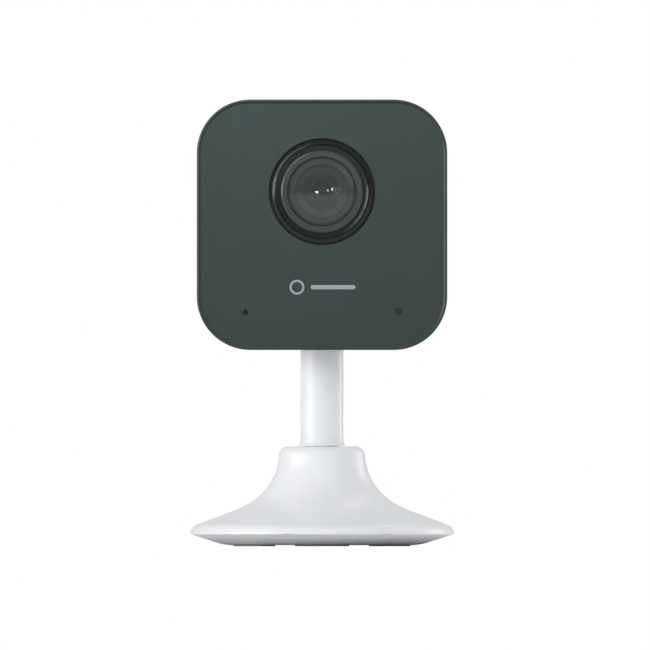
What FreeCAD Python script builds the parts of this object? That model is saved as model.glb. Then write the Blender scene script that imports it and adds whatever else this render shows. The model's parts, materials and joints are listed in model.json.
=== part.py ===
import FreeCAD, Part
import math
import os
import re
import Sketcher

# Compact indoor security camera: a square head on a short round stem and a flared round base.
# Frame: +Z up, the lens looks along -Y, origin on the floor under the stem's axis. Millimetres.

DIMENSIONS = {
    # Base: a flared cover over a steel weight, closed by a bottom plate with eight rubber feet.
    "base_radius": 31.1,
    "rim_level": 2.9,
    "rim_round": 2.3,
    "rim_shoulder_radius": 29.63,
    "rim_shoulder_level": 5.04,
    "flare_low_radius": 20.6,
    "flare_low_level": 8.44,
    "flare_mid_radius": 16.92,
    "flare_mid_level": 10.24,
    "flare_low_round": 24.0,
    "flare_high_round": 14.0,
    "hub_radius": 10.16,
    "hub_top": 23.5,
    "hub_round": 2.2,
    "cover_wall": 1.6,
    "hub_wall": 2.0,
    "swivel_bore": 4.1,
    "swivel_boss_radius": 6.3,
    "swivel_boss_level": 14.0,
    "plate_floor": 0.25,
    "plate_flat_radius": 20.8,
    "plate_shoulder_radius": 25.14,
    "plate_shoulder_level": 0.94,
    "plate_top": 2.85,
    "plate_round": 14.0,
    "weight_inner": 7.6,
    "weight_outer": 24.0,
    "weight_height": 1.9,
    "base_post_circle": 15.5,
    "base_post_radius": 2.6,
    "base_post_top": 8.9,
    "base_screw_head": 2.3,
    "base_screw_sink": 1.4,
    "base_screw_shank": 1.2,
    "base_screw_end": 7.5,
    "foot_inner": 16.3,
    "foot_outer": 21.3,
    "foot_thickness": 0.95,
    "foot_half_angle": 17.5,
    # Stem: a round bar with a spigot that turns in the hub and a flattened eye at the top.
    "stem_radius": 5.05,
    "stem_flare_radius": 5.42,
    "stem_flare_height": 0.85,
    "swivel_gap": 0.1,
    "spigot_radius": 4.05,
    "spigot_level": 13.7,
    "pan_screw_bore": 1.5,
    "pan_screw_bore_depth": 7.0,
    "eye_half_width": 3.6,
    "eye_flat_level": 50.5,
    "eye_bore": 1.55,
    "pan_washer_radius": 6.2,
    "pan_washer_thickness": 0.8,
    "pan_screw_shank": 1.45,
    "pan_screw_head": 3.0,
    "pan_screw_head_height": 1.8,
    # Head: a dark front cover and a pale rear shell with the same rounded-square outline.
    "head_size": 59.0,
    "head_corner": 12.6,
    "head_level": 75.7,
    "face_y": -16.0,
    "split_y": -11.0,
    "back_y": 11.0,
    "front_round": 0.45,
    "panel_recess": 0.42,
    "panel_slope": 45.0,
    "seam_round": 0.2,
    "lens_seat_bevel": 0.35,
    "rear_round": 2.6,
    "shell_wall": 1.8,
    "face_wall": 2.0,
    "lip_wall": 0.9,
    "lip_depth": 1.2,
    "fit": 0.05,
    "lens_level": 83.5,
    "sound_x": -18.0,
    "sound_level": 55.1,
    "sound_hole": 0.6,
    "light_x": 18.1,
    "light_level": 55.3,
    "light_hole": 0.88,
    "screw_offset": 22.2,
    "head_post_radius": 2.6,
    "head_post_front": -8.0,
    "head_screw_head": 2.1,
    "head_screw_sink": 2.4,
    "head_screw_shank": 1.2,
    "head_screw_clearance": 1.5,
    # Tilt hinge, inside the head, about the X axis.
    "hinge_level": 57.0,
    "slot_half_width": 5.5,
    "slot_front": -8.8,
    "slot_top": 60.0,
    "ear_inner": 4.6,
    "ear_outer": 6.8,
    "ear_reach": 5.0,
    "bridge_level": 62.6,
    "bridge_top": 64.6,
    "flange_near": 6.0,
    "flange_half_width": 15.5,
    "flange_front": 5.4,
    "flange_back": 7.0,
    "flange_level": 53.0,
    "flange_step": 59.5,
    "bracket_screw_x": 12.0,
    "bracket_screw_level": 58.5,
    "bracket_screw_shank": 1.2,
    "bracket_screw_head": 2.1,
    "bracket_post_radius": 2.5,
    "tilt_washer_radius": 4.6,
    "tilt_washer_thickness": 0.9,
    "tilt_pin_radius": 1.45,
    "tilt_pin_head": 2.8,
    "tilt_head_height": 1.9,
    # Lens group, all about one axis along Y.
    "bezel_outer": 12.2,
    "bezel_edge_y": -15.72,
    "bezel_round": 1.2,
    "bezel_crown_round": 2.4,
    "bezel_crown": 10.9,
    "bezel_inner": 9.75,
    "bezel_rise": 0.65,
    "trim_outer": 9.68,
    "trim_inner": 8.12,
    "trim_rise": 0.95,
    "glass_radius": 7.8,
    "barrel_head": 8.06,
    "barrel_radius": 6.0,
    "barrel_bore": 5.65,
    "barrel_back_bore": 4.6,
    "barrel_shelf_y": -10.0,
    "barrel_end_y": -4.6,
    "retainer_y": -14.25,
    "holder_radius": 8.0,
    "holder_front_y": -10.9,
    "holder_flange_y": -5.6,
    "holder_under_y": -4.3,
    "holder_half_width": 12.0,
    "holder_half_height": 7.0,
    "holder_leg": 2.0,
    "iris_radius": 1.8,
    "led_ring_front": -13.4,
    "led_ring_back": -12.5,
    "led_ring_inner": 8.6,
    "led_ring_outer": 12.1,
    "led_circle": 10.6,
    "led_radius": 0.9,
    "led_count": 8,
    # Switchable infrared filter behind the lens.
    "filter_travel": 5.5,
    "filter_half_height": 2.9,
    "filter_front": -3.3,
    "filter_back": -2.5,
    "filter_window": 2.3,
    "housing_front": -4.2,
    "housing_back": -1.6,
    "housing_half_width": 9.7,
    "housing_half_height": 4.4,
    # Electronics.
    "board_front": 1.0,
    "board_back": 2.6,
    "board_half_width": 25.5,
    "board_low": 50.5,
    "board_high": 101.2,
    "board_corner": 9.0,
    "board_notch": 10.0,
    "board_notch_top": 66.5,
    "board_hole": 2.9,
    "sensor_half": 4.0,
    "sensor_front": -0.2,
    "speaker_radius": 9.5,
    "speaker_level": 90.0,
    "speaker_front": 4.6,
    "speaker_back": 8.4,
    "grille_hole": 0.65,
    "grille_pitch": 2.3,
    "inlet_level": 72.0,
    "inlet_half_width": 4.47,
    "inlet_half_height": 1.6,
    "inlet_mouth_y": 10.3,
    "inlet_wall": 0.3,
    "inlet_clear": 0.35,
    "card_low": 78.0,
    "card_high": 90.0,
    "card_thick": 1.5,
    "button_x": 19.5,
    "button_level": 63.0,
    "button_radius": 2.0,
    "button_hole": 2.3,
    "button_face": 10.75,
    "button_flange": 3.0,
    "button_stalk_end": 5.25,
    "plunger_radius": 0.9,
    "switch_half": 2.25,
    "switch_back": 4.5,
}

SHEET = "dims"
LEFT = 1
RIGHT = -1
FOOT_COUNT = 6
SCREW_ANGLES = (0, 120, 240)
CORNERS = ((-1, -1), (-1, 1), (1, -1), (1, 1))

os.makedirs("parts", exist_ok=True)
document = FreeCAD.newDocument("security_camera")
sheet = document.addObject("Spreadsheet::Sheet", SHEET)
for row, (alias, size) in enumerate(DIMENSIONS.items(), start=1):
    sheet.set(f"A{row}", alias)
    sheet.set(f"B{row}", str(size))
    sheet.setAlias(f"B{row}", alias)
document.recompute()

nodes = {}


# ---------------------------------------------------------------- formulas and placement

def formula(text):
    """Point every sheet alias in a formula at the sheet."""
    def refer(match):
        word = match.group(0)
        return f"{SHEET}.{word}" if word in DIMENSIONS else word
    return re.sub(r"[A-Za-z_][A-Za-z_0-9]*", refer, str(text))


def value(text):
    """The present value of a formula, for a sketch's first geometry."""
    return float(sheet.evalExpression(formula(text)))


def bind(item, **properties):
    """Bind properties of an object to formulas."""
    for name, text in properties.items():
        item.setExpression(name, formula(text))


def place(item, x=0, y=0, z=0):
    """Bind an object's position to formulas."""
    for axis, text in zip("xyz", (x, y, z)):
        item.setExpression(f"Placement.Base.{axis}", formula(text))


def keep(label, item):
    """Register an object as a sub-part under its own label."""
    item.Label = label
    nodes[label] = item
    return item


# ---------------------------------------------------------------- sketches and features

def sketch_on(body, name, plane, offset="0"):
    """A sketch on one of the body's origin planes, moved along the plane's normal."""
    sketch = body.newObject("Sketcher::SketchObject", name)
    origin_plane = next(item for item in body.Origin.OriginFeatures if item.Role == plane)
    sketch.AttachmentSupport = [(origin_plane, "")]
    sketch.MapMode = "FlatFace"
    sketch.setExpression("AttachmentOffset.Base.z", formula(offset))
    return sketch


def pin_point(sketch, geometry, point, x, y):
    """Hold one point of a sketch at the place two formulas give."""
    for kind, text in (("DistanceX", x), ("DistanceY", y)):
        index = sketch.addConstraint(Sketcher.Constraint(kind, -1, 1, geometry, point, value(text)))
        sketch.setExpression(f"Constraints[{index}]", formula(text))


def draw_outline(sketch, corners):
    """A closed outline. A corner is (x, y), or (x, y, side, radius) where an arc leaves it."""
    points = [FreeCAD.Vector(value(corner[0]), value(corner[1]), 0) for corner in corners]
    first = sketch.GeometryCount
    for place_in_row, corner in enumerate(corners):
        start = points[place_in_row]
        end = points[(place_in_row + 1) % len(points)]
        if len(corner) == 2:
            sketch.addGeometry(Part.LineSegment(start, end), False)
            continue
        radius = value(corner[3])
        chord = end - start
        sagitta = radius - math.sqrt(radius ** 2 - chord.Length ** 2 / 4)
        left_normal = FreeCAD.Vector(-chord.y, chord.x, 0).normalize()
        middle = (start + end) * 0.5 + left_normal * (corner[2] * sagitta)
        sketch.addGeometry(Part.Arc(start, middle, end), False)
    count = len(corners)
    for place_in_row, corner in enumerate(corners):
        geometry = first + place_in_row
        following = first + (place_in_row + 1) % count
        start_point, end_point = arc_ends(sketch, geometry, points[place_in_row])
        next_start, _ = arc_ends(sketch, following, points[(place_in_row + 1) % count])
        sketch.addConstraint(Sketcher.Constraint("Coincident", geometry, end_point, following, next_start))
        pin_point(sketch, geometry, start_point, corner[0], corner[1])
        if len(corner) == 4:
            index = sketch.addConstraint(Sketcher.Constraint("Radius", geometry, value(corner[3])))
            sketch.setExpression(f"Constraints[{index}]", formula(corner[3]))


def arc_ends(sketch, geometry, start):
    """Which point numbers of an edge are its start and its end in the outline's direction."""
    return (1, 2) if sketch.getPoint(geometry, 1).isEqual(start, 1e-6) else (2, 1)


def draw_circle(sketch, x, y, radius):
    """A full circle held at its centre."""
    centre = FreeCAD.Vector(value(x), value(y), 0)
    geometry = sketch.addGeometry(Part.Circle(centre, FreeCAD.Vector(0, 0, 1), value(radius)), False)
    pin_point(sketch, geometry, 3, x, y)
    index = sketch.addConstraint(Sketcher.Constraint("Radius", geometry, value(radius)))
    sketch.setExpression(f"Constraints[{index}]", formula(radius))


def rectangle(x_low, x_high, y_low, y_high):
    """The corners of a rectangle, anticlockwise."""
    return [(x_low, y_low), (x_high, y_low), (x_high, y_high), (x_low, y_high)]


def rounded_square(half, radius, level="head_level"):
    """The corners of a rounded square about the head's axis, anticlockwise."""
    flat = f"({half} - {radius})"
    low = f"{level} - {half}"
    high = f"{level} + {half}"
    return [
        (f"-{flat}", low), (flat, low, RIGHT, radius),
        (half, f"{level} - {flat}"), (half, f"{level} + {flat}", RIGHT, radius),
        (flat, high), (f"-{flat}", high, RIGHT, radius),
        (f"-{half}", f"{level} + {flat}"), (f"-{half}", f"{level} - {flat}", RIGHT, radius),
    ]


def new_body(label):
    """A PartDesign body registered as a sub-part."""
    return keep(label, document.addObject("PartDesign::Body", label))


def revolve(body, name, plane, corners, axis):
    """A full turn of a closed outline about one of the sketch's own axes."""
    sketch = sketch_on(body, f"{name}_outline", plane)
    draw_outline(sketch, corners)
    feature = body.newObject("PartDesign::Revolution", name)
    feature.Profile = sketch
    feature.ReferenceAxis = (sketch, [axis])
    feature.Angle = 360
    return feature


def turned(label, corners):
    """A sub-part turned about the Z axis from (radius, level) corners."""
    body = new_body(label)
    revolve(body, f"{label}_turn", "XZ_Plane", corners, "V_Axis")
    return body


def turned_lens_part(label, corners):
    """A sub-part turned about the lens axis from (y, radius) corners."""
    body = new_body(label)
    revolve(body, f"{label}_turn", "YZ_Plane", corners, "H_Axis")
    place(body, z="lens_level")
    return body


def pad(body, name, plane, offset, corners, length, circles=()):
    """A pad along the plane's normal. On XZ_Plane the normal is -Y, so offsets are negated there."""
    sketch = sketch_on(body, f"{name}_outline", plane, offset)
    if corners:
        draw_outline(sketch, corners)
    for circle in circles:
        draw_circle(sketch, *circle)
    feature = body.newObject("PartDesign::Pad", name)
    feature.Profile = sketch
    bind(feature, Length=length)
    return feature


def pocket(body, name, plane, offset, corners, length, circles=(), symmetric=False):
    """A pocket that cuts along the plane's normal, by its length or half of it on both sides."""
    sketch = sketch_on(body, f"{name}_outline", plane, offset)
    if corners:
        draw_outline(sketch, corners)
    for circle in circles:
        draw_circle(sketch, *circle)
    feature = body.newObject("PartDesign::Pocket", name)
    feature.Profile = sketch
    feature.Reversed = not symmetric
    if symmetric:
        feature.SideType = "Symmetric"
    bind(feature, Length=length)
    return feature


def repeat_about_z(body, name, feature, count):
    """Repeat a feature evenly about the Z axis."""
    pattern = body.newObject("PartDesign::PolarPattern", name)
    pattern.Originals = [feature]
    pattern.Axis = (next(item for item in body.Origin.OriginFeatures if item.Role == "Z_Axis"), [""])
    pattern.Angle = 360
    pattern.Occurrences = count
    body.Tip = pattern
    return pattern


def fillet_edges(body, name, feature, radius, wanted):
    """Round the edges of a feature that pass a test."""
    document.recompute()
    chosen = [f"Edge{number}" for number, edge in enumerate(feature.Shape.Edges, start=1) if wanted(edge)]
    rounding = body.newObject("PartDesign::Fillet", name)
    rounding.Base = (feature, chosen)
    bind(rounding, Radius=radius)
    return rounding


def in_plane_y(level):
    """A test for edges that lie wholly at one y."""
    def test(edge):
        return abs(edge.BoundBox.YMin - level) < 1e-4 and abs(edge.BoundBox.YMax - level) < 1e-4
    return test


# ---------------------------------------------------------------- primitives

AXIS_TURNS = {
    "x": FreeCAD.Rotation(FreeCAD.Vector(0, 1, 0), 90),
    "y": FreeCAD.Rotation(FreeCAD.Vector(1, 0, 0), -90),
    "z": FreeCAD.Rotation(),
}


def box(name, x_low, x_high, y_low, y_high, z_low, z_high):
    """A block between six planes."""
    item = document.addObject("Part::Box", name)
    bind(item, Length=f"({x_high}) - ({x_low})", Width=f"({y_high}) - ({y_low})",
         Height=f"({z_high}) - ({z_low})")
    place(item, x_low, y_low, z_low)
    return item


def rod(name, axis, radius, start, end, x=0, y=0, z=0):
    """A cylinder along one axis, from start to end on that axis."""
    item = document.addObject("Part::Cylinder", name)
    item.Placement = FreeCAD.Placement(FreeCAD.Vector(0, 0, 0), AXIS_TURNS[axis])
    bind(item, Radius=radius, Height=f"({end}) - ({start})")
    spot = {"x": x, "y": y, "z": z}
    spot[axis] = start
    place(item, spot["x"], spot["y"], spot["z"])
    return item


def join(name, items):
    """One solid from several overlapping ones."""
    if len(items) == 1:
        return items[0]
    fusion = document.addObject("Part::MultiFuse", name)
    fusion.Shapes = items
    return fusion


def cut(name, stock, tools):
    """The stock less all the tools."""
    result = document.addObject("Part::Cut", name)
    result.Base = stock
    result.Tool = join(f"{name}_tools", tools)
    return result


def tube(name, axis, outer, inner, start, end, x=0, y=0, z=0):
    """A plain ring or sleeve."""
    stock = rod(f"{name}_outside", axis, outer, start, end, x, y, z)
    bore = rod(f"{name}_bore", axis, inner, f"({start}) - 1", f"({end}) + 1", x, y, z)
    return cut(f"{name}_ring", stock, [bore])


# ---------------------------------------------------------------- base

def base_cover():
    """The flared shell, its hub with the swivel boss, and three screw posts."""
    body = turned("base_cover", [
        ("swivel_bore", "hub_top"),
        ("hub_radius - hub_round", "hub_top", LEFT, "hub_round"),
        ("hub_radius", "hub_top - hub_round", RIGHT, "flare_high_round"),
        ("flare_mid_radius", "flare_mid_level", RIGHT, "flare_low_round"),
        ("flare_low_radius", "flare_low_level"),
        ("rim_shoulder_radius", "rim_shoulder_level", LEFT, "rim_round"),
        ("base_radius", "rim_level"),
        ("base_radius - cover_wall", "rim_level"),
        ("rim_shoulder_radius - 1", "rim_shoulder_level - 1.2"),
        ("flare_low_radius", "flare_low_level - 1.75"),
        ("flare_mid_radius - 1", "flare_mid_level - 1.35"),
        ("hub_radius + 2.4", "hub_top - 11.7"),
        ("hub_radius", "hub_top - 8.5"),
        ("hub_radius - 1.2", "hub_top - 5.5"),
        ("hub_radius - 1.8", "hub_top - hub_wall"),
        ("swivel_boss_radius", "hub_top - hub_wall"),
        ("swivel_boss_radius", "swivel_boss_level"),
        ("swivel_bore", "swivel_boss_level"),
    ])
    post = pad(body, "cover_post", "XY_Plane", "rim_level", None, "base_post_top - rim_level",
               [(f"base_post_circle * cos({SCREW_ANGLES[0]})", f"base_post_circle * sin({SCREW_ANGLES[0]})",
                 "base_post_radius")])
    repeat_about_z(body, "cover_posts", post, len(SCREW_ANGLES))
    bore = pocket(body, "cover_bore", "XY_Plane", "rim_level", None, "base_screw_end + 0.3 - rim_level",
                  [(f"base_post_circle * cos({SCREW_ANGLES[0]})",
                    f"base_post_circle * sin({SCREW_ANGLES[0]})",
                    "base_screw_shank + fit")])
    repeat_about_z(body, "cover_bores", bore, len(SCREW_ANGLES))


def foot_corners(grow="0"):
    """The outline of the front foot, an arc-shaped pad about -Y."""
    inner = f"(foot_inner - {grow})"
    outer = f"(foot_outer + {grow})"
    spread_out = f"(foot_half_angle + {grow} * 2.5)"
    return [
        (f"-{inner} * sin({spread_out})", f"-{inner} * cos({spread_out})"),
        (f"-{outer} * sin({spread_out})", f"-{outer} * cos({spread_out})", RIGHT, outer),
        (f"{outer} * sin({spread_out})", f"-{outer} * cos({spread_out})"),
        (f"{inner} * sin({spread_out})", f"-{inner} * cos({spread_out})", LEFT, inner),
    ]


def base_plate():
    """The bottom plate with foot recesses and sunk screw holes."""
    body = turned("base_plate", [
        (0, "plate_floor"),
        ("plate_flat_radius", "plate_floor", RIGHT, "plate_round"),
        ("plate_shoulder_radius", "plate_shoulder_level"),
        ("base_radius - 0.1", "plate_top"),
        (0, "plate_top"),
    ])
    recess = pocket(body, "foot_recess", "XY_Plane", 0, foot_corners("0.1"), "foot_thickness")
    repeat_about_z(body, "foot_recesses", recess, FOOT_COUNT)
    spot = (f"base_post_circle * cos({SCREW_ANGLES[0]})", f"base_post_circle * sin({SCREW_ANGLES[0]})")
    sink = pocket(body, "screw_sink", "XY_Plane", 0, None, "base_screw_sink",
                  [(*spot, "base_screw_head + 0.2")])
    repeat_about_z(body, "screw_sinks", sink, len(SCREW_ANGLES))
    hole = pocket(body, "screw_hole", "XY_Plane", 0, None, "plate_top + 1",
                  [(*spot, "base_screw_shank + 0.15")])
    repeat_about_z(body, "screw_holes", hole, len(SCREW_ANGLES))


def base_weight():
    """The steel ring that keeps the camera upright."""
    body = new_body("base_weight")
    low = "plate_top + fit"
    pad(body, "weight_ring", "XY_Plane", low, None, "weight_height",
        [(0, 0, "weight_outer"), (0, 0, "weight_inner")])
    spot = (f"base_post_circle * cos({SCREW_ANGLES[0]})", f"base_post_circle * sin({SCREW_ANGLES[0]})")
    hole = pocket(body, "weight_hole", "XY_Plane", low, None, "weight_height + 1",
                  [(*spot, "base_post_radius + 0.3")])
    repeat_about_z(body, "weight_holes", hole, len(SCREW_ANGLES))


def base_screws():
    """Three identical screws up through the bottom plate."""
    for number, angle in enumerate(SCREW_ANGLES, start=1):
        x = f"base_post_circle * cos({angle})"
        y = f"base_post_circle * sin({angle})"
        head = rod(f"base_screw_head_{number}", "z", "base_screw_head", "0.45", "base_screw_sink", x, y)
        shank = rod(f"base_screw_shank_{number}", "z", "base_screw_shank", "base_screw_sink - 0.1",
                    "base_screw_end", x, y)
        drive = rod(f"base_screw_drive_{number}", "z", "0.8", "0.3", "0.95", x, y)
        solid = join(f"base_screw_solid_{number}", [head, shank])
        cut(f"base_screw_cut_{number}", solid, [drive])
    gather("base_screws", [f"base_screw_cut_{number}" for number in range(1, len(SCREW_ANGLES) + 1)])


def gather(label, names):
    """One sub-part from several identical separate solids."""
    compound = document.addObject("Part::Compound", label)
    compound.Links = [document.getObject(name) for name in names]
    keep(label, compound)


def foot(number):
    """One of the rubber feet, pressed into its recess."""
    label = f"foot_pad_{number}"
    body = new_body(label)
    pad(body, f"{label}_pad", "XY_Plane", 0, foot_corners(), "foot_thickness - 0.02")
    body.Placement = FreeCAD.Placement(
        FreeCAD.Vector(0, 0, 0), FreeCAD.Rotation(FreeCAD.Vector(0, 0, 1), 360 / FOOT_COUNT * (number - 1)))


# ---------------------------------------------------------------- stem and swivel

def stem():
    """The turned bar, flattened and rounded to an eye at its top."""
    top = "hinge_level + stem_radius"
    foot_level = "hub_top + swivel_gap"
    body = turned("stem", [
        ("pan_screw_bore", "spigot_level"),
        ("spigot_radius", "spigot_level"),
        ("spigot_radius", foot_level),
        ("stem_flare_radius", foot_level),
        ("stem_flare_radius", f"{foot_level} + 0.25"),
        ("stem_radius", f"{foot_level} + stem_flare_height"),
        ("stem_radius", top),
        (0, top),
        (0, "spigot_level + pan_screw_bore_depth"),
        ("pan_screw_bore", "spigot_level + pan_screw_bore_depth"),
    ])
    beyond = "stem_radius + 1"
    for name, near, far in (("left", f"-({beyond})", "-eye_half_width"),
                            ("right", "eye_half_width", beyond)):
        pocket(body, f"eye_flat_{name}", "XZ_Plane", 0, rectangle(near, far, "eye_flat_level", f"{top} + 1"),
               "4 * stem_radius", symmetric=True)
    pocket(body, "eye_round", "YZ_Plane", 0, [
        ("stem_radius", "hinge_level", RIGHT, "stem_radius * 1.0001"),
        ("0", top, RIGHT, "stem_radius * 1.0001"),
        ("-stem_radius", "hinge_level"),
        (f"-({beyond})", "hinge_level"),
        (f"-({beyond})", f"{top} + 1"),
        (beyond, f"{top} + 1"),
        (beyond, "hinge_level"),
    ], "4 * stem_radius", symmetric=True)
    pocket(body, "eye_hole", "YZ_Plane", 0, None, "4 * stem_radius", [(0, "hinge_level", "eye_bore")],
           symmetric=True)


def pan_hardware():
    """The friction washer, spring washer and screw that hold the spigot in the hub."""
    washer_top = "swivel_boss_level - fit"
    washer_low = f"{washer_top} - pan_washer_thickness"
    spring_low = f"{washer_low} - pan_washer_thickness"
    head_low = f"{spring_low} - pan_screw_head_height"
    keep("pan_friction_washer", tube("pan_friction_washer", "z", "pan_washer_radius", "spigot_radius + fit",
                                     washer_low, washer_top))
    keep("pan_spring_washer",
         tube("pan_spring_washer", "z", "pan_washer_radius - 0.4", "pan_screw_shank + fit",
                                   spring_low, washer_low))
    head = rod("pan_screw_cap", "z", "pan_screw_head", head_low, spring_low)
    shank = rod("pan_screw_shank", "z", "pan_screw_shank", f"{spring_low} - 0.2",
                "spigot_level + pan_screw_bore_depth - 0.5")
    drive = rod("pan_screw_drive", "z", "1.1", f"{head_low} - 0.5", f"{head_low} + 1")
    keep("pan_screw", cut("pan_screw_cut", join("pan_screw_solid", [head, shank]), [drive]))


# ---------------------------------------------------------------- head shells

def front_cover():
    """The dark face with the lens opening, the sound hole, the light hole and four bosses."""
    body = new_body("front_cover")
    half = "head_size / 2"
    block = pad(body, "cover_block", "XZ_Plane", "-split_y", rounded_square(half, "head_corner"),
                "split_y - face_y")
    rounded = fillet_edges(body, "cover_rounding", block, "front_round", in_plane_y(value("face_y")))
    fillet_edges(body, "cover_seam", rounded, "seam_round", in_plane_y(value("split_y")))
    recess = pocket(body, "panel_recess", "XZ_Plane", "-face_y",
                    rounded_square(f"({half} - front_round)", "(head_corner - front_round)"), "panel_recess")
    recess.Reversed = False  # this one cuts from the face inwards, the others from behind the sketch
    bind(recess, TaperAngle="-panel_slope")
    pocket(body, "cover_hollow", "XZ_Plane", "-split_y",
           rounded_square(f"({half} - shell_wall)", "(head_corner - shell_wall)"),
           "split_y - face_y - face_wall")
    lip_out = f"({half} - shell_wall - fit)"
    lip_in = f"({half} - shell_wall - fit - lip_wall)"
    lip = sketch_on(body, "cover_lip_outline", "XZ_Plane", "-split_y - lip_depth")
    draw_outline(lip, rounded_square(lip_out, "(head_corner - shell_wall - fit)"))
    draw_outline(lip, rounded_square(lip_in, "(head_corner - shell_wall - fit - lip_wall)"))
    lip_pad = body.newObject("PartDesign::Pad", "cover_lip")
    lip_pad.Profile = lip
    bind(lip_pad, Length="lip_depth + split_y - face_y - face_wall + 0.2")
    bosses = [(f"{x} * screw_offset", f"head_level + {z} * screw_offset", "head_post_radius")
              for x, z in CORNERS]
    boss_end = "head_post_front - 0.1"
    pad(body, "cover_bosses", "XZ_Plane", f"-({boss_end})", None,
        f"{boss_end} - face_y - face_wall + 0.2", bosses)
    pilots = [(x, z, "head_screw_shank + fit") for x, z, _ in bosses]
    pocket(body, "boss_pilots", "XZ_Plane", f"-({boss_end})", None,
           f"{boss_end} - face_y - face_wall - 0.2", pilots)
    holes = [
        (0, "lens_level", "bezel_outer + fit"),
        ("sound_x", "sound_level", "sound_hole"),
        ("light_x", "light_level", "light_hole"),
    ]
    drilled = pocket(body, "face_holes", "XZ_Plane", "-(face_y + face_wall + 1)", None, "face_wall + 2",
                     holes)
    panel_y = value("face_y + panel_recess")
    seat = value("bezel_outer + fit")
    document.recompute()
    bevel = body.newObject("PartDesign::Chamfer", "lens_seat")
    bevel.Base = (drilled, [f"Edge{number}" for number, edge in enumerate(drilled.Shape.Edges, start=1)
                            if in_plane_y(panel_y)(edge) and edge.Length > 6 * seat])
    bind(bevel, Size="lens_seat_bevel")


def rear_shell():
    """The pale back with its stem slot, grille, inlet, card slot, button hole and posts."""
    body = new_body("rear_shell")
    half = "head_size / 2"
    block = pad(body, "shell_block", "XZ_Plane", "-back_y", rounded_square(half, "head_corner"),
                "back_y - split_y")
    rounded = fillet_edges(body, "shell_rounding", block, "rear_round", in_plane_y(value("back_y")))
    fillet_edges(body, "shell_seam", rounded, "seam_round", in_plane_y(value("split_y")))
    inner_y = "back_y - face_wall"
    pocket(body, "shell_hollow", "XZ_Plane", f"-({inner_y})",
           rounded_square(f"({half} - shell_wall)", "(head_corner - shell_wall)"),
           f"{inner_y} - split_y + 1")
    posts = [(f"{x} * screw_offset", f"head_level + {z} * screw_offset", "head_post_radius")
             for x, z in CORNERS]
    pad(body, "shell_posts", "XZ_Plane", f"-({inner_y} + 0.2)", None,
        f"{inner_y} + 0.2 - head_post_front", posts)
    clearances = [(x, z, "head_screw_clearance") for x, z, _ in posts]
    pocket(body, "post_holes", "XZ_Plane", "-(back_y + 1)", None, "back_y + 1 - head_post_front + 1",
           clearances)
    sinks = [(x, z, "head_screw_head + 0.25") for x, z, _ in posts]
    pocket(body, "screw_sinks", "XZ_Plane", "-(back_y + 1)", None, "head_screw_sink + 1", sinks)
    bracket_posts = [(f"{side} * bracket_screw_x", "bracket_screw_level", "bracket_post_radius")
                     for side in (-1, 1)]
    pad(body, "bracket_posts", "XZ_Plane", f"-({inner_y} + 0.2)", None,
        f"{inner_y} + 0.2 - flange_back - fit",
        bracket_posts)
    bores = [(x, z, "bracket_screw_shank + fit") for x, z, _ in bracket_posts]
    pocket(body, "bracket_bores", "XZ_Plane", f"-({inner_y} + 1)", None, f"{inner_y} + 2 - flange_back",
           bores)
    low = f"head_level - {half} - 1"
    pocket(body, "stem_slot", "XZ_Plane", "-(back_y + 1)", [
        ("-slot_half_width", low),
        ("slot_half_width", low),
        ("slot_half_width", "slot_top - slot_half_width + 2", RIGHT, "slot_half_width * 1.2"),
        ("-slot_half_width", "slot_top - slot_half_width + 2"),
    ], "back_y + 1 - slot_front")
    holes = [("button_x", "button_level", "button_hole")]
    holes += grille_holes()
    pocket(body, "shell_holes", "XZ_Plane", "-(back_y + 1)", None, "face_wall + 2", holes)
    pocket(body, "inlet_hole", "XZ_Plane", "-(back_y + 1)", stadium("inlet_clear"), "face_wall + 2")
    pocket(body, "card_mouth", "YZ_Plane", f"{half} - shell_wall - 1", rectangle(
        "board_back + 0.1", "board_back + card_thick - 0.1", "card_low + 0.5", "card_high - 0.5"),
        "shell_wall + 2")


def grille_holes():
    """Round sound holes in a hexagonal patch in front of the speaker."""
    holes = []
    for line in range(-3, 4):
        across = 7 - abs(line)
        for number in range(across):
            x = f"{number - (across - 1) / 2} * grille_pitch"
            z = f"speaker_level + {line} * grille_pitch * 0.866"
            holes.append((x, z, "grille_hole"))
    return holes


def stadium(grow):
    """The outline of the power inlet: a slot with full round ends."""
    half_height = f"(inlet_half_height + {grow})"
    flat = "(inlet_half_width - inlet_half_height)"
    low = f"inlet_level - {half_height}"
    high = f"inlet_level + {half_height}"
    bow = f"{half_height} * 1.0001"
    tip = f"({flat} + {half_height})"
    return [
        (f"-{flat}", low), (flat, low, RIGHT, bow), (tip, "inlet_level", RIGHT, bow),
        (flat, high), (f"-{flat}", high, RIGHT, bow), (f"-{tip}", "inlet_level", RIGHT, bow),
    ]


def head_screws():
    """Four identical screws that join the shells."""
    names = []
    for number, (side, rise) in enumerate(CORNERS, start=1):
        x = f"{side} * screw_offset"
        z = f"head_level + {rise} * screw_offset"
        seat = "back_y - head_screw_sink"
        head = rod(f"head_screw_cap_{number}", "y", "head_screw_head", f"{seat} + fit", f"{seat} + 1.6",
                   x=x, z=z)
        shank = rod(f"head_screw_shank_{number}", "y", "head_screw_shank", "face_y + face_wall + 1",
                    f"{seat} + 0.2", x=x, z=z)
        drive = rod(f"head_screw_drive_{number}", "y", "0.75", f"{seat} + 0.9", f"{seat} + 2", x=x, z=z)
        solid = join(f"head_screw_solid_{number}", [head, shank])
        names.append(cut(f"head_screw_cut_{number}", solid, [drive]).Name)
    gather("head_screws", names)


# ---------------------------------------------------------------- tilt hinge

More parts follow.
